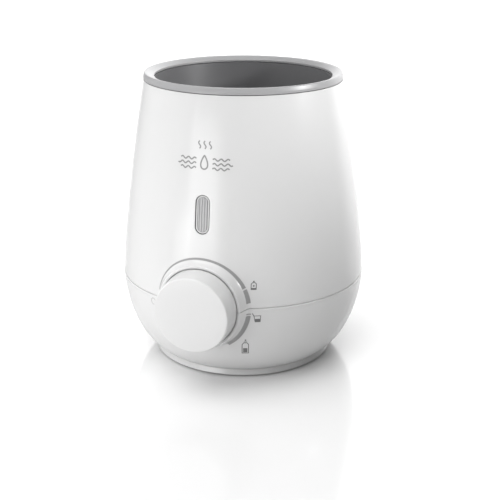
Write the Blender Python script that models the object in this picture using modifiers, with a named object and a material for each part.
"""Bottle warmer: a turned two-part housing round a heated water well, with a front dial and lamp.

Lengths in this file are millimetres, multiplied by MM where they reach Blender, which works in
metres. The warmer stands on z = 0, its front faces -Y, and the box round it is centred on the
Z axis. Most pieces are placed in one of four frames, which are empties:

    body    Z is the axis of the turned housing
    dial    Z points out of the front along the dial's axis, and is 0 on the body axis
    lamp    Z points out of the front wall at the lamp, and is 0 on the wall's outer face
    gland   Z points out of the back, and is 0 on the body axis
"""

from math import atan2, copysign, cos, degrees, hypot, pi, radians, sin

import bmesh
import bpy
from mathutils import Matrix, Vector

MM = 0.001
GAP = 0.3  # clearance between pieces that touch on the real object

# Housing
HEIGHT = 165.0
BELLY_RADIUS = 70.5
SEAM_Z = 49.0
UPPER_BOTTOM_Z = SEAM_Z + GAP
UPPER_TOP = (56.1, 160.8)
LOWER_BOTTOM = (52.0, 4.6)
WALL = 2.4
TURN_STEPS = 44
CUT_MARGIN = 3.0  # how far a helper runs past the face that it cuts

# Outlines of the housing's outer face as Bezier control points (radius, z), from the seam outwards
UPPER_OUTLINE = ((BELLY_RADIUS, SEAM_Z), (BELLY_RADIUS, 62.1), (64.9, 111.3), UPPER_TOP)
LOWER_OUTLINE = ((BELLY_RADIUS, SEAM_Z), (BELLY_RADIUS, 33.2), (63.5, 11.6), LOWER_BOTTOM)

# Water well
WELL_MOUTH_RADIUS = 49.5
WELL_FLOOR_RADIUS = 43.0
WELL_TOP_Z = 161.4
WELL_FLOOR_Z = 62.0
WELL_WALL = 1.2
WELL_CORNER = 7.0
WELL_FLANGE_RADIUS = 52.0
LEDGE_Z = 159.0
LEDGE_INNER_RADIUS = 51.3

# Dial: distances along its own axis are measured from the body axis
DIAL_Z = SEAM_Z + GAP / 2
KNOB_FACE = 85.2
KNOB_BACK = 72.6
KNOB_FACE_RADIUS = 21.0
KNOB_BACK_RADIUS = 21.7
KNOB_WALL = 1.9
COLLAR_FRONT = 73.0
COLLAR_BACK = 64.5
COLLAR_BORE = 22.2
COLLAR_FRONT_RADIUS = 23.1
COLLAR_BACK_RADIUS = 25.6
COLLAR_FLOOR = 70.0
COLLAR_CORE_RADIUS = 20.0
COLLAR_CORE_FRONT = 67.8
SHAFT_RADIUS = 3.0
BUSH_RADIUS = 4.3
SHAFT_HOLE = 5.0
BRACKET_BACK = 59.5
BRACKET_FRONT = 61.5
POT_RADIUS = 8.6
POT_BACK = 50.5
POT_BUSH_FRONT = 66.2
WASHER_THICKNESS = 0.8

# Lamp window
LAMP_Z = 99.0
LENS_FRONT = -0.2
BEZEL_FRONT = -0.1
SLOT_WIDTH = 8.1
SLOT_HEIGHT = 20.9
BEZEL_RING = 0.75

# Base
BASE_RADIUS = 51.65
BASE_FLARE = 0.9
BASE_TOP_Z = LOWER_BOTTOM[1] - GAP
BASE_FLOOR_Z = 2.3
BASE_LOWEST_Z = 0.8
FLANGE_INNER_RADIUS = 38.0
FLANGE_TOP_Z = 6.8
FOOT_CIRCLE = 41.0
FOOT_RADIUS = 5.5
FOOT_STEM_RADIUS = 1.8
FOOT_ANGLES = (60, 120, 240, 300)
VENT_SIZE = (2.4, 24.0, 8.0)
VENT_SPOTS = (-15, -9, -3, 3, 9, 15)

# Screws
SCREW_RADIUS = 1.35
SCREW_HEAD_RADIUS = 2.8
SCREW_HEAD_DEPTH = 1.6
POST_CIRCLE = 47.5
POST_RADIUS = 4.2
POST_SHOULDER_Z = 41.0
POST_BOTTOM_Z = 5.2
BASE_BOSS_TOP = 15.0
POST_ANGLES = (45, 135, 225, 315)
LUG_WIDTH = 8.0
LUG_HEIGHT = 6.0
BASE_SCREW_CIRCLE = 44.0
BASE_SCREW_ANGLES = (30, 150, 270)
BRACKET_SCREWS = ((-15.0, -16.5), (15.0, -16.5))
THREAD_HOLE = 1.65  # radius of a hole that a screw cuts its thread into
THROUGH_HOLE = 1.75  # radius of a hole that a screw passes
HEAD_HOLE = 3.1  # radius of a hole that a screw's head sinks into
HOLE_SIDES = 10

# Heater, under the well's floor
HEATER_RADIUS = 22.0
HEATER_TOP_Z = WELL_FLOOR_Z - WELL_WALL - GAP
HEATER_BOTTOM_Z = HEATER_TOP_Z - 3.2
PTC_SIZE = (24.0, 16.0, 3.0)
CLAMP_SIZE = (72.0, 12.0, 1.2)
FUSE_RADIUS = 2.0
SENSOR_LENGTH = 6.1
STUDS = ((-31.0, 0.0), (31.0, 0.0))

# Control board
BOARD_SIZE = (56.0, 52.0, 1.6)
BOARD_Z = 12.3
BOARD_POSTS = ((-24.0, -22.0), (24.0, -22.0), (-24.0, 22.0), (24.0, 22.0))

# Cord gland, at the back
GLAND_Z = 22.0
GLAND_BORE = 3.6
GLAND_FACE = 68.3
GLAND_BACK = 57.0
GLAND_FRONT = 70.3
GLAND_FLANGE = 7.2
GLAND_NECK = 5.2
GLAND_HOLE = 5.5

BODY_Y = (KNOB_FACE - BELLY_RADIUS) / 2  # puts the middle of the box round the warmer at y = 0

# Finish: colour, roughness, metallic
FINISHES = {
    "white_plastic": ((0.86, 0.86, 0.86), 0.22, 0.0),
    "grey_plastic": ((0.36, 0.36, 0.37), 0.40, 0.0),
    "inner_plastic": ((0.62, 0.62, 0.60), 0.50, 0.0),
    "dark_coating": ((0.09, 0.09, 0.095), 0.42, 0.3),
    "clear_grey": ((0.35, 0.35, 0.36), 0.20, 0.0),
    "rubber": ((0.05, 0.05, 0.05), 0.80, 0.0),
    "steel": ((0.55, 0.55, 0.56), 0.30, 1.0),
    "brass": ((0.70, 0.52, 0.24), 0.35, 1.0),
    "aluminium": ((0.75, 0.75, 0.76), 0.35, 1.0),
    "ceramic": ((0.80, 0.78, 0.72), 0.55, 0.0),
    "board": ((0.05, 0.22, 0.10), 0.50, 0.0),
    "black_plastic": ((0.03, 0.03, 0.03), 0.45, 0.0),
    "yellow_plastic": ((0.75, 0.60, 0.10), 0.40, 0.0),
    "led_resin": ((0.70, 0.72, 0.74), 0.15, 0.0),
}


def start_scene():
    for obj in list(bpy.data.objects):
        bpy.data.objects.remove(obj)
    for name in ("bottle_warmer", "cutters"):
        bpy.context.scene.collection.children.link(bpy.data.collections.new(name))


def frame(name, location, turn=0.0):
    """An empty to place pieces in, turned about X, in degrees."""
    empty = bpy.data.objects.new(name, None)
    empty.location = Vector(location) * MM
    empty.rotation_euler.x = radians(turn)
    empty.empty_display_size = 0.02
    bpy.data.collections["bottle_warmer"].objects.link(empty)
    return empty


def finish_of(name, finish):
    colour, roughness, metallic = FINISHES[finish]
    material = bpy.data.materials.new(f"{name}_{finish}")
    material.use_nodes = True
    shader = material.node_tree.nodes["Principled BSDF"]
    shader.inputs["Base Color"].default_value = (*colour, 1.0)
    shader.inputs["Roughness"].default_value = roughness
    shader.inputs["Metallic"].default_value = metallic
    return material


def place(name, data, parent, finish):
    """Puts a shape in its frame: a part if it has a finish, or else a helper that is never rendered."""
    obj = bpy.data.objects.new(name, data)
    obj.parent = parent
    if finish:
        data.materials.append(finish_of(name, finish))
        bpy.data.collections["bottle_warmer"].objects.link(obj)
    else:
        obj.hide_render = True
        obj.display_type = "WIRE"
        bpy.data.collections["cutters"].objects.link(obj)
    return obj


# Shapes ------------------------------------------------------------------------------------------


def turned(name, parent, profile, finish=None, closed=True, steps=TURN_STEPS):
    """A profile of (radius, z) turned about its frame's Z axis. A closed profile makes a ring."""
    mesh = bpy.data.meshes.new(name)
    count = len(profile)
    edges = [(i, (i + 1) % count) for i in range(count if closed else count - 1)]
    mesh.from_pydata([(r * MM, 0.0, z * MM) for r, z in profile], edges, [])
    obj = place(name, mesh, parent, finish)
    screw = obj.modifiers.new("Screw", "SCREW")
    screw.steps = screw.render_steps = steps
    screw.use_merge_vertices = True
    screw.merge_threshold = 1e-5
    return obj


def solid(name, parent, shapes, finish=None):
    """One mesh of the given primitives, which are functions that add themselves to a bmesh."""
    shape = bmesh.new()
    for add in shapes:
        add(shape)
    mesh = bpy.data.meshes.new(name)
    shape.to_mesh(mesh)
    shape.free()
    mesh.shade_smooth()
    mesh.set_sharp_from_angle(angle=radians(40))
    return place(name, mesh, parent, finish)


def box(size, centre):
    def add(shape):
        scale = Matrix.Diagonal((*[s * MM for s in size], 1.0))
        bmesh.ops.create_cube(shape, size=1.0, matrix=Matrix.Translation(Vector(centre) * MM) @ scale)

    return add


def rod(radius, low, high, at=(0.0, 0.0), top_radius=None, sides=24):
    """A cylinder along Z, or a cone if it has a top radius."""

    def add(shape):
        bmesh.ops.create_cone(
            shape,
            cap_ends=True,
            segments=sides,
            radius1=radius * MM,
            radius2=(top_radius or radius) * MM,
            depth=(high - low) * MM,
            matrix=Matrix.Translation(Vector((*at, (low + high) / 2)) * MM),
        )

    return add


def capsule(width, height, low, high, sides=20):
    """A prism along Z with round ends, upright along Y: a cylinder whose halves are moved apart."""

    def add(shape):
        middle = Matrix.Translation((0.0, 0.0, (low + high) / 2 * MM))
        made = bmesh.ops.create_cone(
            shape,
            cap_ends=True,
            segments=sides,
            radius1=width / 2 * MM,
            radius2=width / 2 * MM,
            depth=(high - low) * MM,
            matrix=middle @ Matrix.Rotation(pi / sides, 4, "Z"),
        )
        for vertex in made["verts"]:
            vertex.co.y += copysign((height - width) / 2 * MM, vertex.co.y)

    return add


def combine(obj, operation, helper):
    modifier = obj.modifiers.new(helper.name, "BOOLEAN")
    modifier.operation = operation
    modifier.object = helper


def join(obj, *helpers):
    for helper in helpers:
        combine(obj, "UNION", helper)


def cut(obj, *helpers):
    for helper in helpers:
        combine(obj, "DIFFERENCE", helper)


def soften(obj, width, segments=1):
    modifier = obj.modifiers.new("Bevel", "BEVEL")
    modifier.width = width * MM
    modifier.segments = segments
    modifier.angle_limit = radians(50)


def on_circle(radius, angle):
    return radius * cos(radians(angle)), radius * sin(radians(angle))


def screw_holes(radius, low, high, circle, angles):
    """Rods with few sides on a circle, as holes or bosses for screws."""
    return [rod(radius, low, high, on_circle(circle, angle), sides=HOLE_SIDES) for angle in angles]


def bezier(corners, t):
    weights = ((1 - t) ** 3, 3 * t * (1 - t) ** 2, 3 * t * t * (1 - t), t**3)
    return tuple(sum(w * c[i] for w, c in zip(weights, corners)) for i in (0, 1))


def outline(corners, inward, count):
    """Points along a Bezier outline, moved towards the body axis, square to the curve."""
    points = []
    for i in range(count + 1):
        t = i / count
        r, z = bezier(corners, t)
        before, after = bezier(corners, t - 0.01), bezier(corners, t + 0.01)
        dr, dz = after[0] - before[0], after[1] - before[1]
        side = copysign(inward / hypot(dr, dz), dz)
        points.append((r - dz * side, z + dr * side))
    return points


def arc(centre, radius, start, end, count):
    """Points on an arc of a profile, angles in degrees from outwards towards up."""
    points = []
    for i in range(count + 1):
        angle = radians(start + (end - start) * i / count)
        points.append((centre[0] + radius * cos(angle), centre[1] + radius * sin(angle)))
    return points


def radius_at(corners, z):
    """Outer radius of the housing at a height, by halving the Bezier's parameter."""
    low, high = 0.0, 1.0
    rising = corners[3][1] > corners[0][1]
    for _ in range(30):
        middle = (low + high) / 2
        if (bezier(corners, middle)[1] < z) == rising:
            low = middle
        else:
            high = middle
    return bezier(corners, low)[0]


# Housing -----------------------------------------------------------------------------------------


def seam_block(name, body, low, high):
    """A block wider than the warmer, which takes away the far side of the seam."""
    span = 4 * BELLY_RADIUS
    return solid(name, body, [box((span, span, high - low), (0.0, 0.0, (low + high) / 2))])


def collar_helpers(dial):
    """The raised collar round the dial, its bore, the hollow behind its floor, and the shaft's hole."""
    collar = solid(
        "collar",
        dial,
        [rod(COLLAR_BACK_RADIUS, COLLAR_BACK, COLLAR_FRONT, top_radius=COLLAR_FRONT_RADIUS, sides=40)],
    )
    bore_front = COLLAR_FRONT + CUT_MARGIN
    bore = solid("collar_bore", dial, [rod(COLLAR_BORE, COLLAR_FLOOR, bore_front, sides=40)])
    core_back = COLLAR_BACK - CUT_MARGIN
    core = solid("collar_core", dial, [rod(COLLAR_CORE_RADIUS, core_back, COLLAR_CORE_FRONT)])
    hole = solid("shaft_hole", dial, [rod(SHAFT_HOLE, COLLAR_BACK, COLLAR_FRONT)])
    return collar, bore, core, hole


def upper_housing(body, lamp, collar, bore, core, hole):
    below = SEAM_Z - CUT_MARGIN
    past_seam = ((BELLY_RADIUS, below), (BELLY_RADIUS - WALL, below))
    outer = outline(UPPER_OUTLINE, 0.0, 7)
    inner = [p for p in outline(UPPER_OUTLINE, WALL, 4) if p[1] < LEDGE_Z - 4.0]
    top_inner = UPPER_TOP[0] - WALL
    ledge = [
        (LEDGE_INNER_RADIUS, LEDGE_Z - 1.6),
        (LEDGE_INNER_RADIUS, LEDGE_Z),
        (top_inner, LEDGE_Z),
        (top_inner, UPPER_TOP[1]),
    ]
    profile = [*reversed(outer), *past_seam, *inner, *ledge]
    shell = turned("upper_housing", body, profile, "white_plastic")
    join(shell, collar)
    cut(shell, bore, core, hole, seam_block("below_seam", body, 0.0, UPPER_BOTTOM_Z))

    lug_outer = BELLY_RADIUS - WALL / 2 - 1.0
    lug_inner = POST_CIRCLE - POST_RADIUS
    lug_size = (lug_outer - lug_inner, LUG_WIDTH, LUG_HEIGHT)
    lug_centre = ((lug_outer + lug_inner) / 2, 0.0, UPPER_BOTTOM_Z + LUG_HEIGHT / 2)
    for number, angle in enumerate(POST_ANGLES, 1):
        lug = solid(f"lug_{number}", body, [box(lug_size, lug_centre)])
        lug.rotation_euler.z = radians(angle)
        join(shell, lug)
    pilot_top = UPPER_BOTTOM_Z + LUG_HEIGHT - 0.3
    pilots = screw_holes(THREAD_HOLE, below, pilot_top, POST_CIRCLE, POST_ANGLES)
    cut(shell, solid("lug_pilots", body, pilots))
    slot = solid("lamp_slot", lamp, [capsule(SLOT_WIDTH, SLOT_HEIGHT, -WALL - CUT_MARGIN, CUT_MARGIN)])
    cut(shell, slot)


def lower_housing(body, dial, gland, collar, bore, core, hole):
    above = SEAM_Z + CUT_MARGIN
    past_seam = ((BELLY_RADIUS - WALL, above), (BELLY_RADIUS, above))
    outer = outline(LOWER_OUTLINE, 0.0, 7)
    inner = [p for p in outline(LOWER_OUTLINE, WALL, 4) if p[1] > FLANGE_TOP_Z + 2.0]
    flange = [
        (FLANGE_INNER_RADIUS, LOWER_BOTTOM[1]),
        (FLANGE_INNER_RADIUS, FLANGE_TOP_Z),
        (LOWER_BOTTOM[0] - 1.5, FLANGE_TOP_Z + 0.5),
    ]
    profile = [*outer, *flange, *reversed(inner), *past_seam]
    shell = turned("lower_housing", body, profile, "white_plastic")
    join(shell, collar)
    cut(shell, bore, core, hole, seam_block("above_seam", body, SEAM_Z, HEIGHT))
    join(shell, seam_tongue(body, dial), *housing_bosses(body, dial, gland))

    wells = screw_holes(HEAD_HOLE, 2.0, POST_SHOULDER_Z, POST_CIRCLE, POST_ANGLES)
    wells += screw_holes(THREAD_HOLE, 2.0, BASE_BOSS_TOP - 1.5, BASE_SCREW_CIRCLE, BASE_SCREW_ANGLES)
    bores = screw_holes(THROUGH_HOLE, POST_SHOULDER_Z - 1.0, SEAM_Z + 2.0, POST_CIRCLE, POST_ANGLES)
    cut(shell, solid("post_bores", body, bores), solid("post_wells", body, wells))
    pilot_ends = (BRACKET_FRONT, COLLAR_BACK + 2.0)
    pilots = [rod(THREAD_HOLE, *pilot_ends, at, sides=HOLE_SIDES) for at in BRACKET_SCREWS]
    cut(shell, solid("bracket_pilots", dial, pilots))
    gland_ends = (GLAND_BACK - CUT_MARGIN, GLAND_FACE + CUT_MARGIN)
    cut(shell, solid("gland_hole", gland, [rod(GLAND_HOLE, *gland_ends)]))


def seam_tongue(body, dial):
    """The ring that locates the upper housing, with room left for the collar and the lugs."""
    outer = BELLY_RADIUS - WALL - 0.4
    inner = outer - 1.4
    profile = [
        (outer, SEAM_Z + 2.8),
        (outer, SEAM_Z - 0.5),
        (outer + 1.3, SEAM_Z - 2.0),
        (inner, SEAM_Z - 5.0),
        (inner, SEAM_Z + 2.8),
    ]
    tongue = turned("tongue", body, profile)
    cut(tongue, solid("tongue_break", dial, [box((56.0, 30.0, 30.0), (0.0, 0.0, COLLAR_BACK))]))
    way_size = (20.0, LUG_WIDTH + 0.8, LUG_HEIGHT + 2.0)
    for number, angle in enumerate(POST_ANGLES, 1):
        way = solid(f"lug_way_{number}", body, [box(way_size, (outer, 0.0, SEAM_Z + 3.6))])
        way.rotation_euler.z = radians(angle)
        cut(tongue, way)
    return tongue


def housing_bosses(body, dial, gland):
    """The lower housing's screw posts, and the bosses for the bracket and the cord gland."""
    posts = screw_holes(POST_RADIUS, POST_BOTTOM_Z, SEAM_Z - 0.1, POST_CIRCLE, POST_ANGLES)
    posts += screw_holes(3.6, POST_BOTTOM_Z, BASE_BOSS_TOP, BASE_SCREW_CIRCLE, BASE_SCREW_ANGLES)
    ends = (BRACKET_FRONT + GAP, COLLAR_BACK + 1.0)
    bracket = [rod(3.2, *ends, at, sides=HOLE_SIDES) for at in BRACKET_SCREWS]
    return (
        solid("posts", body, posts),
        solid("bracket_bosses", dial, bracket),
        solid("gland_boss", gland, [rod(9.0, GLAND_BACK, GLAND_FACE)]),
    )


def rim_ring(body):
    """The grey ring: a rolled outer band, a top face that falls towards the well, and a spigot."""
    edge = UPPER_TOP[0] + 0.1
    profile = [
        *arc((edge - 1.2, HEIGHT - 1.1), 1.1, 90, 5, 3),
        (edge, UPPER_TOP[1] + GAP),
        (53.3, UPPER_TOP[1] + GAP),
        (53.3, LEDGE_Z + GAP),
        (WELL_FLANGE_RADIUS + 0.4, LEDGE_Z + GAP),
        (WELL_FLANGE_RADIUS + 0.4, WELL_TOP_Z + 0.7),
        (50.3, WELL_TOP_Z + GAP),
        (50.0, WELL_TOP_Z + 0.6),
        (50.0, HEIGHT - 2.4),
        (50.4, HEIGHT - 2.05),
        (52.6, HEIGHT - 0.85),
    ]
    turned("rim_ring", body, profile, "grey_plastic")


def base_cover(body):
    profile = [
        (0.0, BASE_TOP_Z),
        (BASE_RADIUS - 0.5, BASE_TOP_Z),
        (BASE_RADIUS, BASE_TOP_Z - 0.5),
        (BASE_RADIUS + BASE_FLARE, BASE_LOWEST_Z + 0.6),
        (BASE_RADIUS + BASE_FLARE - 0.6, BASE_LOWEST_Z),
        (BASE_RADIUS - 3.0, BASE_LOWEST_Z),
        (BASE_RADIUS - 3.6, BASE_FLOOR_Z),
        (0.0, BASE_FLOOR_Z),
    ]
    cover = turned("base_cover", body, profile, "white_plastic", closed=False)
    posts = [rod(2.9, BASE_TOP_Z - 1.0, BOARD_Z - GAP, at, sides=16) for at in BOARD_POSTS]
    join(cover, solid("board_posts", body, posts))
    post_holes = (BASE_TOP_Z + 1.0, BOARD_Z + 1.0)
    holes = [rod(THREAD_HOLE, *post_holes, at, sides=HOLE_SIDES) for at in BOARD_POSTS]
    through = (0.0, BASE_TOP_Z + CUT_MARGIN)
    holes += screw_holes(THROUGH_HOLE, *through, BASE_SCREW_CIRCLE, BASE_SCREW_ANGLES)
    holes += screw_holes(FOOT_STEM_RADIUS + GAP, *through, FOOT_CIRCLE, FOOT_ANGLES)
    cut(cover, solid("base_holes", body, holes))
    vents = [box(VENT_SIZE, (x, 0.0, BASE_FLOOR_Z)) for x in VENT_SPOTS]
    cut(cover, solid("vents", body, vents))


def rubber_feet(body):
    profile = [
        (0.0, BASE_TOP_Z - 0.5),
        (FOOT_STEM_RADIUS, BASE_TOP_Z - 0.5),
        (FOOT_STEM_RADIUS, BASE_FLOOR_Z - GAP),
        (FOOT_RADIUS, BASE_FLOOR_Z - GAP),
        (FOOT_RADIUS, 0.4),
        (FOOT_RADIUS - 0.4, 0.0),
        (0.0, 0.0),
    ]
    for number, angle in enumerate(FOOT_ANGLES, 1):
        foot = turned(f"rubber_foot_{number}", body, profile, "rubber", closed=False, steps=16)
        foot.location = Vector((*on_circle(FOOT_CIRCLE, angle), 0.0)) * MM


def cord_gland(gland):
    """A bush that the housing's hole holds between two flanges."""
    profile = [
        (GLAND_FLANGE - 0.6, GLAND_FRONT),
        (GLAND_FLANGE, GLAND_FRONT - 0.6),
        (GLAND_FLANGE, GLAND_FACE + GAP),
        (GLAND_NECK, GLAND_FACE + GAP),
        (GLAND_NECK, GLAND_BACK - GAP),
        (GLAND_FLANGE - 0.4, GLAND_BACK - GAP),
        (GLAND_NECK + 0.4, GLAND_BACK - 3.5),
        (GLAND_BORE, GLAND_BACK - 3.5),
        (GLAND_BORE, GLAND_FRONT - 0.5),
        (GLAND_BORE + 0.5, GLAND_FRONT),
    ]
    turned("cord_gland", gland, profile, "grey_plastic", steps=24)


# Water well and heater ---------------------------------------------------------------------------


def heating_chamber(body):
    """The coated bowl that holds the water and the bottle, with two studs for the heater's clamp."""
    flange_z = WELL_TOP_Z - 1.0
    inner_corner = (WELL_FLOOR_RADIUS - WELL_CORNER, WELL_FLOOR_Z + WELL_CORNER)
    inside = arc(inner_corner, WELL_CORNER, -90, 0, 4)
    outside = arc(inner_corner, WELL_CORNER + WELL_WALL, 0, -90, 4)
    profile = [
        (0.0, WELL_FLOOR_Z),
        *inside,
        (WELL_MOUTH_RADIUS, WELL_TOP_Z),
        (WELL_FLANGE_RADIUS, WELL_TOP_Z),
        (WELL_FLANGE_RADIUS, flange_z),
        (WELL_MOUTH_RADIUS + WELL_WALL, flange_z),
        *outside,
        (0.0, WELL_FLOOR_Z - WELL_WALL),
    ]
    bowl = turned("heating_chamber", body, profile, "dark_coating", closed=False)
    stud_low = HEATER_BOTTOM_Z - PTC_SIZE[2] - GAP
    thread_ends = (stud_low - 1.0, WELL_FLOOR_Z - 2.5)
    studs = [rod(3.2, stud_low, WELL_FLOOR_Z - 0.6, at, sides=16) for at in STUDS]
    threads = [rod(THREAD_HOLE, *thread_ends, at, sides=HOLE_SIDES) for at in STUDS]
    join(bowl, solid("studs", body, studs))
    cut(bowl, solid("stud_threads", body, threads))


def chamber_seal(body):
    low, high = LEDGE_Z + GAP, WELL_TOP_Z - 1.0 - GAP
    inner, outer = WELL_MOUTH_RADIUS + WELL_WALL + 0.4, WELL_FLANGE_RADIUS + 0.1
    profile = [(outer, high), (outer, low), (inner, low), (inner, high)]
    turned("chamber_seal", body, profile, "rubber")


def heater(body):
    disc = rod(HEATER_RADIUS, HEATER_BOTTOM_Z, HEATER_TOP_Z, sides=32)
    plate = solid("heater_plate", body, [disc], "aluminium")
    soften(plate, 0.4)
    ptc_middle = HEATER_BOTTOM_Z - GAP - PTC_SIZE[2] / 2
    ptc = solid("ptc_element", body, [box(PTC_SIZE, (0.0, 0.0, ptc_middle))], "ceramic")
    soften(ptc, 0.5)

    clamp_top = ptc_middle - PTC_SIZE[2] / 2 - GAP
    clamp_middle = clamp_top - CLAMP_SIZE[2] / 2
    clamp = solid("heater_clamp", body, [box(CLAMP_SIZE, (0.0, 0.0, clamp_middle))], "steel")
    hole_ends = (clamp_top - 5.0, clamp_top + 5.0)
    holes = [rod(THROUGH_HOLE, *hole_ends, at, sides=HOLE_SIDES) for at in STUDS]
    cut(clamp, solid("clamp_holes", body, holes))
    for number, at in enumerate(STUDS, 1):
        add_screw(f"clamp_screw_{number}", body, at, clamp_top - CLAMP_SIZE[2] - GAP, 7.0)

    fuse = solid("thermal_fuse", body, [rod(FUSE_RADIUS, -6.0, 6.0, sides=16)], "white_plastic")
    fuse.rotation_euler.y = radians(90)
    fuse.location = Vector((0.0, 15.0, HEATER_BOTTOM_Z - GAP - FUSE_RADIUS)) * MM
    sensor_top = HEATER_BOTTOM_Z - GAP
    probe = rod(3.0, sensor_top - SENSOR_LENGTH, sensor_top, (0.0, -16.0), sides=16)
    sensor = solid("temperature_sensor", body, [probe], "steel")
    soften(sensor, 0.4)


def add_screw(name, parent, at, head_top, length, down=False):
    """A pan-head screw whose shank runs up from its head, or down from it."""
    way = -1.0 if down else 1.0
    profile = [
        (0.0, head_top + way * length),
        (SCREW_RADIUS * 0.7, head_top + way * length),
        (SCREW_RADIUS, head_top + way * (length - 0.8)),
        (SCREW_RADIUS, head_top),
        (SCREW_HEAD_RADIUS, head_top),
        (SCREW_HEAD_RADIUS, head_top - way * (SCREW_HEAD_DEPTH - 0.6)),
        (SCREW_HEAD_RADIUS * 0.7, head_top - way * SCREW_HEAD_DEPTH),
        (0.0, head_top - way * SCREW_HEAD_DEPTH),
    ]
    if down:
        profile.reverse()
    screw = turned(name, parent, profile, "steel", closed=False, steps=10)
    screw.location = Vector((*at, 0.0)) * MM


# Dial --------------------------------------------------------------------------------------------


def dial_knob(turning):
    """A cup that opens backwards, with a hub for the shaft. Its side flares a little to the back."""
    hub_back = KNOB_BACK + 0.9
    hub_front = KNOB_FACE - KNOB_WALL
    edge = arc((KNOB_FACE_RADIUS - 1.0, KNOB_FACE - 1.1), 1.0, 90, 5, 3)
    profile = [
        (0.0, KNOB_FACE),
        (10.0, KNOB_FACE - 0.05),
        *edge,
        (KNOB_BACK_RADIUS, KNOB_BACK),
        (KNOB_BACK_RADIUS - KNOB_WALL, KNOB_BACK),
        (KNOB_FACE_RADIUS - KNOB_WALL, hub_front),
        (5.6, hub_front),
        (5.4, hub_back),
        (SHAFT_RADIUS + GAP, hub_back),
        (SHAFT_RADIUS + GAP, hub_front - 1.2),
        (0.0, hub_front - 1.2),
    ]
    turned("dial_knob", turning, profile, "white_plastic", closed=False, steps=40)


def knob_clip(turning):
    """A split spring ring that squeezes the knob's hub onto the shaft."""
    opening = radians(24)
    turns = [opening + (2 * pi - 2 * opening) * i / 22 for i in range(23)]
    wire("knob_clip", turning, [(6.3 * cos(a), 6.3 * sin(a), 75.5) for a in turns], 0.5, "steel")


def control_shaft(turning):
    front = KNOB_FACE - KNOB_WALL - 1.5
    shaft = solid("control_shaft", turning, [rod(SHAFT_RADIUS, 52.0, front)], "aluminium")
    cut(shaft, solid("shaft_flat", turning, [box((8.0, 4.0, 10.0), (0.0, -3.6, front - 3.0))]))
    profile = [(6.6, 56.0), (6.6, 54.0), (SHAFT_RADIUS + GAP, 54.0), (SHAFT_RADIUS + GAP, 56.0)]
    turned("pot_rotor", turning, profile, "black_plastic", steps=24)


def potentiometer(dial):
    """The fixed half of the control: a cup with a threaded bush, and the wafer that closes it."""
    front = BRACKET_BACK - GAP
    bore = SHAFT_RADIUS + GAP
    profile = [
        (BUSH_RADIUS, POT_BUSH_FRONT),
        (BUSH_RADIUS, front),
        (POT_RADIUS, front),
        (POT_RADIUS, POT_BACK),
        (POT_RADIUS - 1.3, POT_BACK),
        (POT_RADIUS - 1.3, front - 1.6),
        (bore, front - 1.6),
        (bore, POT_BUSH_FRONT),
    ]
    turned("pot_housing", dial, profile, "steel", steps=28)
    wafer = solid("pot_wafer", dial, [rod(POT_RADIUS, 48.6, POT_BACK - GAP, sides=28)], "board")
    pins = [box((1.0, 7.0, 0.8), (x, -10.5, 49.4)) for x in (-5.0, 0.0, 5.0)]
    join(wafer, solid("pot_pins", dial, pins))

    washer_back = BRACKET_FRONT + GAP
    washer = [
        (6.4, washer_back + WASHER_THICKNESS),
        (6.4, washer_back),
        (BUSH_RADIUS + GAP, washer_back),
        (BUSH_RADIUS + GAP, washer_back + WASHER_THICKNESS),
    ]
    turned("pot_washer", dial, washer, "steel", steps=24)
    nut_back = washer_back + WASHER_THICKNESS + GAP
    nut = solid("pot_nut", dial, [rod(6.6, nut_back, nut_back + 2.2, sides=6)], "brass")
    cut(nut, solid("nut_bore", dial, [rod(BUSH_RADIUS + GAP, nut_back - 2.0, nut_back + 4.0)]))


def dial_bracket(dial):
    """The plate that carries the potentiometer behind the seam."""
    middle = (BRACKET_BACK + BRACKET_FRONT) / 2
    plate = solid(
        "dial_bracket",
        dial,
        [box((35.0, 32.5, BRACKET_FRONT - BRACKET_BACK), (0.0, -4.25, middle))],
        "inner_plastic",
    )
    ends = (BRACKET_BACK - 2.0, BRACKET_FRONT + 2.0)
    holes = [rod(BUSH_RADIUS + GAP, *ends)]
    holes += [rod(THROUGH_HOLE, *ends, at, sides=HOLE_SIDES) for at in BRACKET_SCREWS]
    cut(plate, solid("bracket_holes", dial, holes))
    for number, at in enumerate(BRACKET_SCREWS, 1):
        add_screw(f"bracket_screw_{number}", dial, at, BRACKET_BACK - GAP, 5.8)


# Lamp --------------------------------------------------------------------------------------------


def lamp_pieces(lamp):
    width, height = SLOT_WIDTH - 2 * GAP, SLOT_HEIGHT - 2 * GAP
    bezel = solid("lamp_bezel", lamp, [capsule(width, height, -3.4, BEZEL_FRONT)], "white_plastic")
    join(bezel, solid("bezel_flange", lamp, [capsule(width + 3.0, height + 3.0, -4.2, -3.0)]))
    width, height = width - 2 * BEZEL_RING, height - 2 * BEZEL_RING
    cut(bezel, solid("bezel_opening", lamp, [capsule(width, height, -9.0, CUT_MARGIN)]))

    width, height = width - 2 * GAP, height - 2 * GAP
    solid("indicator_lens", lamp, [capsule(width, height, -4.6, LENS_FRONT)], "clear_grey")

    holder = solid("lamp_holder", lamp, [box((13.0, 25.0, 6.4), (0.0, 0.0, -8.1))], "inner_plastic")
    cut(holder, solid("lamp_cavity", lamp, [capsule(7.0, 19.0, -14.0, 0.0)]))
    solid("led_board", lamp, [box((13.0, 25.0, 1.6), (0.0, 0.0, -12.4))], "board")
    led = solid("indicator_led", lamp, [rod(2.5, -11.3, -7.2, sides=16)], "led_resin")
    soften(led, 1.2, 3)


# Control board -----------------------------------------------------------------------------------


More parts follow.
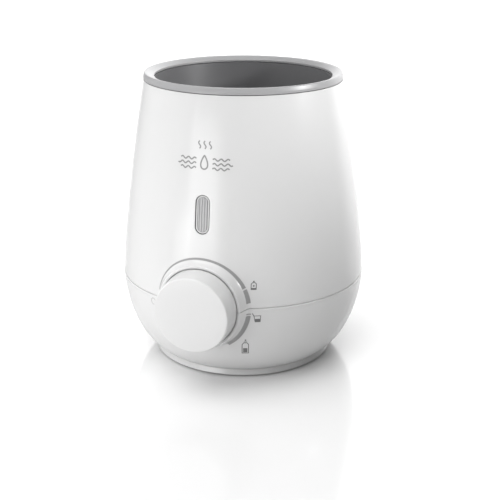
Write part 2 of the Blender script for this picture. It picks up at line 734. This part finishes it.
def control_board(body):
    board_middle = BOARD_Z + BOARD_SIZE[2] / 2
    board = solid("control_board", body, [box(BOARD_SIZE, (0.0, 0.0, board_middle))], "board")
    ends = (BOARD_Z - 2.0, BOARD_Z + 4.0)
    holes = [rod(THROUGH_HOLE, *ends, at, sides=HOLE_SIDES) for at in BOARD_POSTS]
    cut(board, solid("board_holes", body, holes))
    top = BOARD_Z + BOARD_SIZE[2] + GAP
    for number, at in enumerate(BOARD_POSTS, 1):
        add_screw(f"board_screw_{number}", body, at, top, 7.0, down=True)

    blocks = (
        ("relay", (19.0, 15.5, 15.0), (-13.0, 2.0), "black_plastic"),
        ("x2_capacitor", (18.0, 8.0, 14.0), (13.0, 6.0), "yellow_plastic"),
        ("terminal_block", (16.0, 9.0, 11.0), (0.0, 19.0), "inner_plastic"),
    )
    for name, size, at, finish in blocks:
        part = solid(name, body, [box(size, (*at, top + size[2] / 2))], finish)
        soften(part, 0.6)
    can_shape = rod(5.0, top, top + 13.0, (13.0, -10.0), sides=20)
    can = solid("filter_capacitor", body, [can_shape], "black_plastic")
    soften(can, 0.5)


def housing_screws(body):
    for number, angle in enumerate(POST_ANGLES, 1):
        at = on_circle(POST_CIRCLE, angle)
        add_screw(f"housing_screw_{number}", body, at, POST_SHOULDER_Z - GAP, 13.0)
    for number, angle in enumerate(BASE_SCREW_ANGLES, 1):
        at = on_circle(BASE_SCREW_CIRCLE, angle)
        add_screw(f"base_screw_{number}", body, at, BASE_FLOOR_Z - GAP, 10.5)


# Leads -------------------------------------------------------------------------------------------


def wire(name, parent, points, radius, finish):
    curve = bpy.data.curves.new(name, "CURVE")
    curve.dimensions = "3D"
    curve.bevel_depth = radius * MM
    curve.bevel_resolution = 1
    curve.use_fill_caps = True
    spline = curve.splines.new("POLY")
    spline.points.add(len(points) - 1)
    for spot, point in zip(spline.points, points):
        spot.co = (*(Vector(point) * MM), 1.0)
    return place(name, curve, parent, finish)


def smooth_route(route, per_span=3):
    """Points on a Catmull-Rom curve through the route's own points."""
    ends = [Vector(route[0]) * 2 - Vector(route[1]), *map(Vector, route)]
    ends.append(ends[-1] * 2 - ends[-2])
    points = []
    for a, b, c, d in zip(ends, ends[1:], ends[2:], ends[3:]):
        for step in range(per_span):
            t = step / per_span
            square = (2 * a - 5 * b + 4 * c - d) * t**2
            cube = (3 * b - a - 3 * c + d) * t**3
            points.append(0.5 * (2 * b + (c - a) * t + square + cube))
    return [*points, ends[-2]]


LEAD_RADIUS = 0.9
LEADS = {
    "heater_lead_1": (
        (3.0, 24.5, 18.0),
        (6.0, 29.0, 30.0),
        (13.0, 24.0, 46.0),
        (12.0, 15.0, 54.4),
        (7.4, 15.0, 54.6),
    ),
    "heater_lead_2": (
        (-3.0, 24.5, 18.0),
        (-8.0, 30.0, 32.0),
        (-18.0, 22.0, 46.0),
        (-17.5, 12.0, 54.3),
        (-13.2, 6.8, 54.9),
    ),
    "fuse_lead": (
        (-7.4, 15.0, 54.6),
        (-10.5, 13.5, 54.7),
        (-10.5, 10.5, 54.8),
        (-9.0, 9.2, 54.8),
    ),
    "sensor_lead": (
        (0.0, -16.0, 49.6),
        (0.0, -17.0, 42.0),
        (-8.0, -18.0, 30.0),
        (-9.0, -16.0, 20.0),
        (-9.0, -16.0, 15.1),
    ),
    "dial_lead": (
        (0.0, -49.4, 34.6),
        (0.0, -48.0, 27.0),
        (0.0, -38.0, 24.0),
        (0.0, -24.0, 21.0),
        (0.0, -21.0, 15.1),
    ),
    "lamp_lead": (
        (4.0, -52.0, 82.0),
        (10.0, -54.0, 74.0),
        (24.0, -54.0, 62.0),
        (26.0, -48.0, 46.0),
        (20.0, -34.0, 28.0),
        (12.0, -20.5, 15.4),
    ),
}


def leads(body):
    for name, route in LEADS.items():
        wire(name, body, smooth_route(route), LEAD_RADIUS, "black_plastic")


def build():
    start_scene()
    rise = 2.0
    lean = radius_at(UPPER_OUTLINE, LAMP_Z - rise) - radius_at(UPPER_OUTLINE, LAMP_Z + rise)
    lamp_tilt = degrees(atan2(lean, 2 * rise))
    body = frame("body_frame", (0.0, BODY_Y, 0.0))
    dial = frame("dial_frame", (0.0, BODY_Y, DIAL_Z), 90)
    turning = frame("dial_axis", (0.0, BODY_Y, DIAL_Z), 90)
    lamp_y = BODY_Y - radius_at(UPPER_OUTLINE, LAMP_Z)
    lamp = frame("lamp_frame", (0.0, lamp_y, LAMP_Z), 90 - lamp_tilt)
    gland = frame("gland_frame", (0.0, BODY_Y, GLAND_Z), -90)

    helpers = collar_helpers(dial)
    upper_housing(body, lamp, *helpers)
    lower_housing(body, dial, gland, *helpers)
    rim_ring(body)
    base_cover(body)
    rubber_feet(body)
    cord_gland(gland)
    heating_chamber(body)
    chamber_seal(body)
    heater(body)
    dial_knob(turning)
    knob_clip(turning)
    control_shaft(turning)
    potentiometer(dial)
    dial_bracket(dial)
    lamp_pieces(lamp)
    control_board(body)
    housing_screws(body)
    leads(body)


build()
